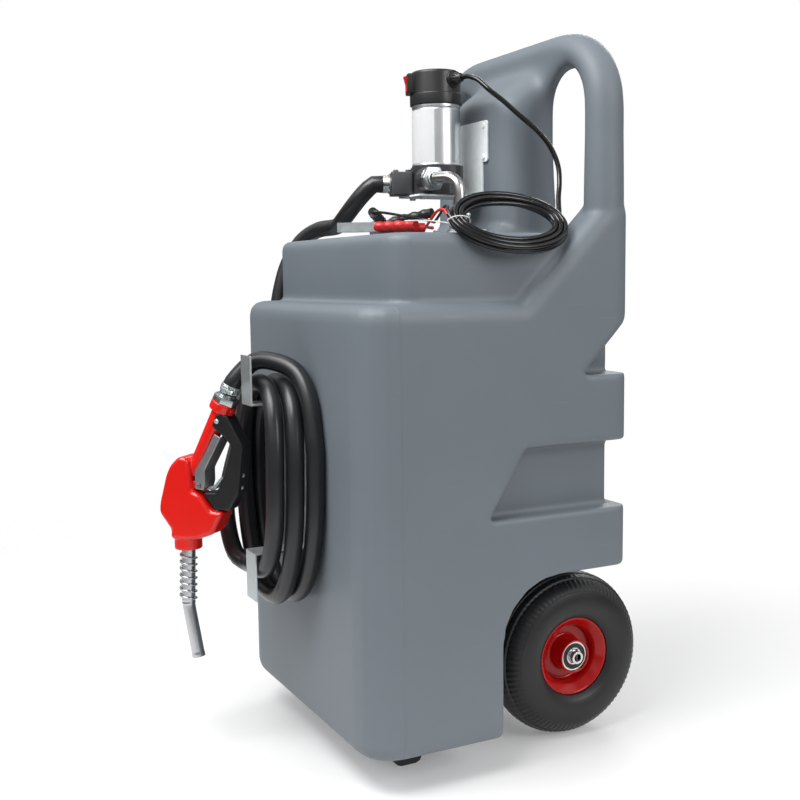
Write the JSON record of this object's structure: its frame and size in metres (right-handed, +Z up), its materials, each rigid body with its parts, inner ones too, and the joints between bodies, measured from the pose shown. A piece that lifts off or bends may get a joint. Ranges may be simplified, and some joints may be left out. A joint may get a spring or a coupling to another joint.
{
  "type": "fuel caddy",
  "caption": "Wheeled rotomoulded fuel tank with a moulded handle, an electric transfer pump, a wound delivery hose, a hand nozzle and a coiled battery lead.",
  "frame": {"origin": "on the ground, under the middle of the caddy's box, measured without its hose, lead and battery clamps", "axes": "+Z up, -Y towards the front face that carries the hose cleat, +X towards the side with the suction elbow, so the wheels' axle runs along X"},
  "size_m": [0.5386, 0.7048, 1.0894],
  "materials": {
    "grey_polyethylene": "matte, finely textured",
    "black_rubber": "satin",
    "tyre_rubber": "matte",
    "red_paint": "gloss",
    "bright_steel": "bright",
    "zinc_plate": "zinc plated",
    "black_casting": "matte",
    "black_plastic": "satin",
    "red_plastic": "gloss",
    "grey_lever": "satin"
  },
  "bodies": {
    "caddy": {"tank": "grey_polyethylene", "tank_foot": "black_rubber", "cap_gasket": "black_rubber", "hose_coil": "black_rubber", "hose_tail": "black_rubber", "hose_supply": "black_rubber", "axle": "bright_steel", "hub_sleeve_right": "bright_steel", "hub_sleeve_left": "bright_steel", "outlet_barb": "bright_steel", "suction_elbow": "bright_steel", "suction_fitting": "bright_steel", "suction_pipe": "bright_steel", "lever_pin": "bright_steel", "nozzle_spout": "bright_steel", "spout_spring": "bright_steel", "red_clamp_pin": "bright_steel", "black_clamp_pin": "bright_steel", "retaining_pin_right": "zinc_plate", "retaining_pin_left": "zinc_plate", "axle_strap_right": "zinc_plate", "axle_strap_left": "zinc_plate", "pump_bracket": "zinc_plate", "motor_can": "zinc_plate", "inlet_nut": "zinc_plate", "elbow_clamp": "zinc_plate", "suction_flange": "zinc_plate", "hose_cleat": "zinc_plate", "hose_adapter": "zinc_plate", "nozzle_hose_clamp": "zinc_plate", "red_clamp_lower": "zinc_plate", "black_clamp_upper": "zinc_plate", "pump_head": "black_casting", "outlet_block": "black_casting", "motor_cap": "black_plastic", "cable_gland": "black_plastic", "foot_strainer": "black_plastic", "filler_neck": "black_plastic", "nozzle_guard": "black_plastic", "lead_coil": "black_plastic", "lead_run": "black_plastic", "black_wire": "black_plastic", "nozzle_body": "red_plastic", "red_wire": "red_plastic"},
    "wheel_right": {"tyre_right": "tyre_rubber", "rim_outer_right": "red_paint", "rim_inner_right": "red_paint", "bearing_outer_right": "bright_steel", "bearing_inner_right": "bright_steel"},
    "wheel_left": {"tyre_left": "tyre_rubber", "rim_outer_left": "red_paint", "rim_inner_left": "red_paint", "bearing_outer_left": "bright_steel", "bearing_inner_left": "bright_steel"},
    "rocker": {"rocker_switch": "red_plastic"},
    "screw_cap": {"filler_cap": "black_plastic"},
    "lever": {"nozzle_lever": "grey_lever"},
    "latch": {"lever_latch": "zinc_plate"},
    "red_jaw": {"red_clamp_upper": "zinc_plate"},
    "black_jaw": {"black_clamp_lower": "zinc_plate"}
  },
  "joints": [
    {"name": "wheel_right_spin", "type": "hinge", "parent": "caddy", "child": "wheel_right", "pos_m": [0.149, 0.22244, 0.13], "axis": [1, 0, 0], "continuous": true},
    {"name": "wheel_left_spin", "type": "hinge", "parent": "caddy", "child": "wheel_left", "pos_m": [-0.149, 0.22244, 0.13], "axis": [1, 0, 0], "continuous": true},
    {"name": "rocker_tilt", "type": "hinge", "parent": "caddy", "child": "rocker", "pos_m": [-0.0159, 0.03974, 1.0223], "axis": [0.9397, -0.342, 0], "range_deg": [0, 16]},
    {"name": "filler_cap_turn", "type": "hinge", "parent": "caddy", "child": "screw_cap", "pos_m": [-0.125, 0.08244, 0.8126], "axis": [0, 0, 1], "range_deg": [0, 450]},
    {"name": "lever_squeeze", "type": "hinge", "parent": "caddy", "child": "lever", "pos_m": [-0.06078, -0.29134, 0.415], "axis": [0.7071, -0.7071, 0], "range_deg": [0, 4.5], "stiffness_Nm_per_rad": 3, "springref_deg": -2.86},
    {"name": "latch_swing", "type": "hinge", "parent": "lever", "child": "latch", "pos_m": [-0.05123, -0.28179, 0.4085], "axis": [0.7071, -0.7071, 0], "range_deg": [0, 32]},
    {"name": "red_clamp_open", "type": "hinge", "parent": "caddy", "child": "red_jaw", "pos_m": [0.05, -0.05456, 0.7985], "axis": [0, 0, 1], "range_deg": [0, 12], "stiffness_Nm_per_rad": 1, "springref_deg": -17.19},
    {"name": "black_clamp_open", "type": "hinge", "parent": "caddy", "child": "black_jaw", "pos_m": [-0.012, -0.00256, 0.808], "axis": [0.1732, -0.0121, -0.9848], "range_deg": [0, 12], "stiffness_Nm_per_rad": 1, "springref_deg": -17.19}
  ]
}
